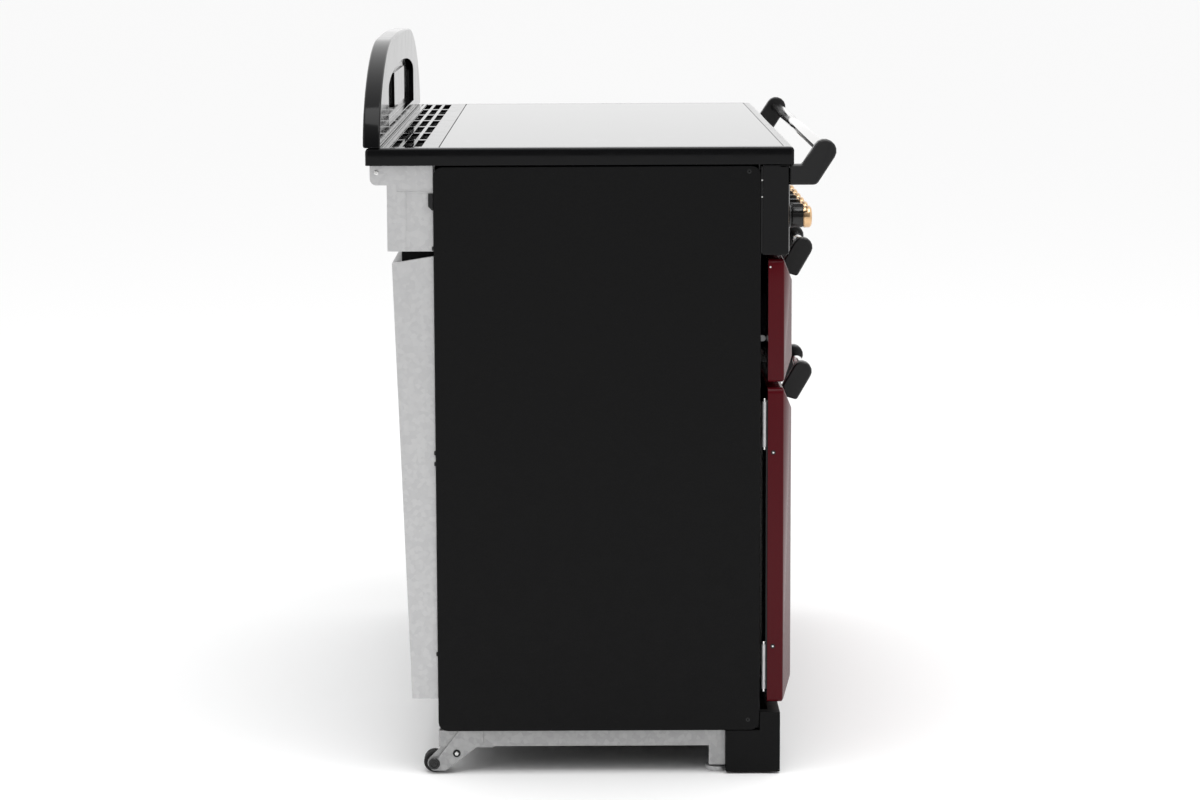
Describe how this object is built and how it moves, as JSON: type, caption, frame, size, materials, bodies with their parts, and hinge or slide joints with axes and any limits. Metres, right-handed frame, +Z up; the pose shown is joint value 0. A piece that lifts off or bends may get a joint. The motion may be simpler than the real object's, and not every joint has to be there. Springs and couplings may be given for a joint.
{
  "type": "range cooker",
  "caption": "Free-standing range cooker: black glass hob and arched splash guard, chrome rail, knobs, drop-down grill, side-hinged ovens and a storage drawer.",
  "frame": {"origin": "on the floor, under the centre of the cooker's overall box", "axes": "+X to the cooker's right as a cook facing it sees it, +Y to its back, +Z up; the doors face -Y"},
  "size_m": [1.092, 0.6727, 1.0633],
  "materials": {
    "black_enamel": "high-gloss black vitreous enamel",
    "hob_glass": "polished black ceramic glass",
    "textured_black": "fine-textured satin black powder coat",
    "cranberry_enamel": "gloss cranberry enamel",
    "galvanised": "galvanised sheet steel, soft spangle",
    "chrome": "bright chrome plate",
    "bracket_black": "satin black paint on die-cast metal",
    "knob_black": "gloss black plastic",
    "oven_enamel": "dark grey speckled vitreous enamel",
    "rubber": "matte black roller tyre"
  },
  "bodies": {
    "cooker": {"base_frame": "galvanised", "plinth": "textured_black", "side_panel_left": "textured_black", "side_panel_right": "textured_black", "front_frame": "oven_enamel", "left_oven_cavity": "oven_enamel", "right_oven_cavity": "oven_enamel", "grill_cavity": "oven_enamel", "back_panel": "galvanised", "rear_cover": "galvanised", "rear_duct": "galvanised", "hob_frame": "black_enamel", "hob_glass": "hob_glass", "vent_grille": "black_enamel", "back_guard": "black_enamel", "control_panel": "black_enamel", "rail_bracket_left": "bracket_black", "rail_bracket_right": "bracket_black", "rail_bar": "chrome", "left_oven_shelf": "chrome", "right_oven_shelf": "chrome", "grill_pan": "oven_enamel", "roller_arm_left": "galvanised", "roller_arm_right": "galvanised"},
    "roller_left": {"roller_left": "rubber"},
    "levelling_foot_left": {"levelling_foot_left": "galvanised"},
    "roller_right": {"roller_right": "rubber"},
    "levelling_foot_right": {"levelling_foot_right": "galvanised"},
    "left_oven_door": {"left_oven_door_panel": "cranberry_enamel", "left_oven_door_liner": "oven_enamel", "left_oven_door_handle_left": "bracket_black", "left_oven_door_handle_right": "bracket_black", "left_oven_door_handle_bar": "chrome", "left_oven_door_hinge": "galvanised"},
    "right_oven_door": {"right_oven_door_panel": "cranberry_enamel", "right_oven_door_liner": "oven_enamel", "right_oven_door_handle_left": "bracket_black", "right_oven_door_handle_right": "bracket_black", "right_oven_door_handle_bar": "chrome", "right_oven_door_hinge": "galvanised"},
    "grill_door": {"grill_door_panel": "cranberry_enamel", "grill_door_liner": "oven_enamel", "grill_door_handle_left": "bracket_black", "grill_door_handle_right": "bracket_black", "grill_door_handle_bar": "chrome"},
    "grill_hinge": {"grill_hinge_left": "galvanised", "grill_hinge_right": "galvanised"},
    "drawer": {"drawer_front": "cranberry_enamel", "drawer_box": "galvanised", "drawer_handle_left": "bracket_black", "drawer_handle_right": "bracket_black", "drawer_handle_bar": "chrome"},
    "knob_1": {"knob_1": "knob_black"},
    "knob_2": {"knob_2": "knob_black"},
    "knob_3": {"knob_3": "knob_black"},
    "knob_4": {"knob_4": "knob_black"},
    "knob_5": {"knob_5": "knob_black"},
    "knob_6": {"knob_6": "knob_black"},
    "knob_7": {"knob_7": "knob_black"},
    "knob_8": {"knob_8": "knob_black"}
  },
  "joints": [
    {"name": "grill_door_turn", "type": "hinge", "parent": "grill_hinge", "child": "grill_door", "pos_m": [-0.2715, -0.2355, 0.6337], "axis": [1, 0, 0], "range_deg": [0, 90]},
    {"name": "grill_hinge_slide", "type": "slide", "parent": "cooker", "child": "grill_hinge", "axis": [0, -1, 0], "range_m": [0, 0.0702]},
    {"name": "left_oven_door_turn", "type": "hinge", "parent": "cooker", "child": "left_oven_door", "pos_m": [-0.537, -0.2355, 0.33], "axis": [0, 0, -1], "range_deg": [0, 100]},
    {"name": "right_oven_door_turn", "type": "hinge", "parent": "cooker", "child": "right_oven_door", "pos_m": [0.537, -0.2355, 0.52], "axis": [0, 0, 1], "range_deg": [0, 100]},
    {"name": "drawer_slide", "type": "slide", "parent": "cooker", "child": "drawer", "axis": [0, -1, 0], "range_m": [0, 0.35]},
    {"name": "knob_1_turn", "type": "hinge", "parent": "cooker", "child": "knob_1", "pos_m": [-0.486, -0.2708, 0.8097], "axis": [0, 1, 0], "range_deg": [0, 270]},
    {"name": "knob_2_turn", "type": "hinge", "parent": "cooker", "child": "knob_2", "pos_m": [-0.416, -0.2708, 0.8097], "axis": [0, 1, 0], "range_deg": [0, 270]},
    {"name": "knob_3_turn", "type": "hinge", "parent": "cooker", "child": "knob_3", "pos_m": [-0.346, -0.2708, 0.8097], "axis": [0, 1, 0], "range_deg": [0, 270]},
    {"name": "knob_4_turn", "type": "hinge", "parent": "cooker", "child": "knob_4", "pos_m": [-0.276, -0.2708, 0.8097], "axis": [0, 1, 0], "range_deg": [0, 270]},
    {"name": "knob_5_turn", "type": "hinge", "parent": "cooker", "child": "knob_5", "pos_m": [-0.206, -0.2708, 0.8097], "axis": [0, 1, 0], "range_deg": [0, 270]},
    {"name": "knob_6_turn", "type": "hinge", "parent": "cooker", "child": "knob_6", "pos_m": [-0.136, -0.2708, 0.8097], "axis": [0, 1, 0], "range_deg": [0, 270]},
    {"name": "knob_7_turn", "type": "hinge", "parent": "cooker", "child": "knob_7", "pos_m": [0.416, -0.2708, 0.8097], "axis": [0, 1, 0], "range_deg": [0, 270]},
    {"name": "knob_8_turn", "type": "hinge", "parent": "cooker", "child": "knob_8", "pos_m": [0.486, -0.2708, 0.8097], "axis": [0, 1, 0], "range_deg": [0, 270]},
    {"name": "roller_left_spin", "type": "hinge", "parent": "cooker", "child": "roller_left", "pos_m": [-0.5187, 0.2445, 0.0155], "axis": [1, 0, 0], "continuous": true},
    {"name": "levelling_foot_left_turn", "type": "hinge", "parent": "cooker", "child": "levelling_foot_left", "pos_m": [-0.515, -0.1682, 0], "axis": [0, 0, 1], "continuous": true},
    {"name": "roller_right_spin", "type": "hinge", "parent": "cooker", "child": "roller_right", "pos_m": [0.5187, 0.2445, 0.0155], "axis": [1, 0, 0], "continuous": true},
    {"name": "levelling_foot_right_turn", "type": "hinge", "parent": "cooker", "child": "levelling_foot_right", "pos_m": [0.515, -0.1682, 0], "axis": [0, 0, 1], "continuous": true}
  ],
  "couplings": [
    {"joint": "grill_hinge_slide", "follows": "grill_door_turn", "m_per_rad": 0.044563}
  ]
}
